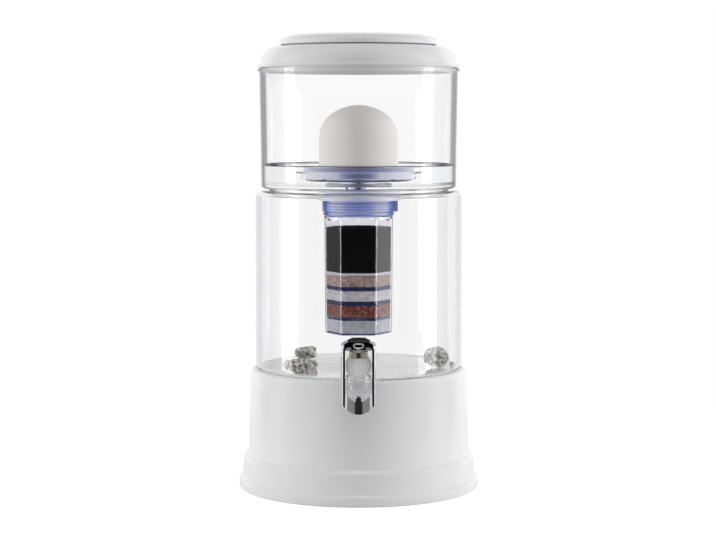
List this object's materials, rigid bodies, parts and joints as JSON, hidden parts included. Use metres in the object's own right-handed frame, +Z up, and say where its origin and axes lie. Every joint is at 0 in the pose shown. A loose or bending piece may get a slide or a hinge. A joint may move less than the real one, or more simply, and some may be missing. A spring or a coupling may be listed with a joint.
{
  "type": "gravity water filter with tap",
  "caption": "Countertop gravity water filter: covered upper tank with a ceramic dome, layered cartridge, lower tank with a push tap, and a round base.",
  "frame": {"origin": "centre of the base's foot, on the surface that the filter stands on", "axes": "+Z up, along the axis of the tanks; -Y towards the tap, which is the front; +X to the right of someone facing the tap"},
  "size_m": [0.2772, 0.3048, 0.5204],
  "materials": {
    "white_plastic": "gloss",
    "clear_plastic": "clear gloss",
    "frosted_plastic": "frosted",
    "ceramic": "matt unglazed",
    "blue_clear_plastic": "clear gloss",
    "navy_plastic": "gloss",
    "lavender_plastic": "gloss",
    "blue_plastic": "gloss",
    "silicone": "matt",
    "chrome": "mirror",
    "gold_plated": "polished",
    "steel": "satin",
    "carbon": "granular",
    "clay_balls": "matt",
    "red_balls": "matt",
    "zeolite": "granular",
    "silica": "granular",
    "felt": "felt",
    "pale_felt": "felt",
    "stone": "rough"
  },
  "bodies": {
    "stand": {"stand": "white_plastic"},
    "lower_tank": {"lower_tank": "clear_plastic", "mineral_stones": "stone", "tap_body": "frosted_plastic", "magnet_ring": "gold_plated", "tap_bonnet": "white_plastic", "spout_cup": "frosted_plastic", "tap_outer_washer": "silicone", "tap_inner_washer": "silicone", "tap_nut": "white_plastic", "lever_pin": "steel", "valve_spring": "steel"},
    "tap_lever": {"push_lever": "chrome", "thumb_tab": "chrome"},
    "valve_stem": {"valve_stem": "white_plastic", "valve_seal": "silicone"},
    "upper_tank": {"upper_tank": "clear_plastic", "floor_washer": "silicone"},
    "dome": {"ceramic_dome": "ceramic", "dome_base": "blue_clear_plastic"},
    "cartridge_seal": {"cartridge_seal": "silicone"},
    "cartridge": {"cartridge_lid": "lavender_plastic", "clamp_ring": "lavender_plastic", "cartridge_cap": "blue_plastic", "cartridge_body": "clear_plastic", "silica_bed": "silica", "filter_pads": "felt", "red_ball_bed": "red_balls", "zeolite_bed": "zeolite", "clay_ball_bed": "clay_balls", "felt_pad": "pale_felt", "carbon_bed": "carbon", "outlet_grid": "navy_plastic"},
    "lid": {"lid_shell": "white_plastic", "lid_grip": "white_plastic"}
  },
  "joints": [
    {"name": "lower_tank_lift", "type": "slide", "parent": "stand", "child": "lower_tank", "axis": [0, 0, 1], "range_m": [0, 0.06]},
    {"name": "tap_press", "type": "hinge", "parent": "lower_tank", "child": "tap_lever", "pos_m": [0, -0.126, 0.1735], "axis": [1, 0, 0], "range_deg": [0, 10], "stiffness_Nm_per_rad": 0.3, "springref_deg": -20.05},
    {"name": "valve_open", "type": "slide", "parent": "lower_tank", "child": "valve_stem", "axis": [0, 0, -1], "range_m": [0, 0.00245], "deforming": ["valve_spring"]},
    {"name": "upper_tank_lift", "type": "slide", "parent": "lower_tank", "child": "upper_tank", "axis": [0, 0, 1], "range_m": [0, 0.18]},
    {"name": "dome_lift", "type": "slide", "parent": "upper_tank", "child": "dome", "axis": [0, 0, 1], "range_m": [0, 0.04]},
    {"name": "cartridge_drop", "type": "slide", "parent": "upper_tank", "child": "cartridge_seal", "axis": [0, 0, -1], "range_m": [0, 0.0095]},
    {"name": "cartridge_turn", "type": "hinge", "parent": "cartridge_seal", "child": "cartridge", "pos_m": [0, 0, 0.345], "axis": [0, 0, -1], "range_deg": [0, 1080]},
    {"name": "lid_lift", "type": "slide", "parent": "upper_tank", "child": "lid", "axis": [0, 0, 1], "range_m": [0, 0.06]}
  ],
  "couplings": [
    {"joint": "valve_open", "follows": "tap_press", "m_per_rad": 0.014},
    {"joint": "cartridge_drop", "follows": "cartridge_turn", "m_per_rad": 0.00047746}
  ]
}
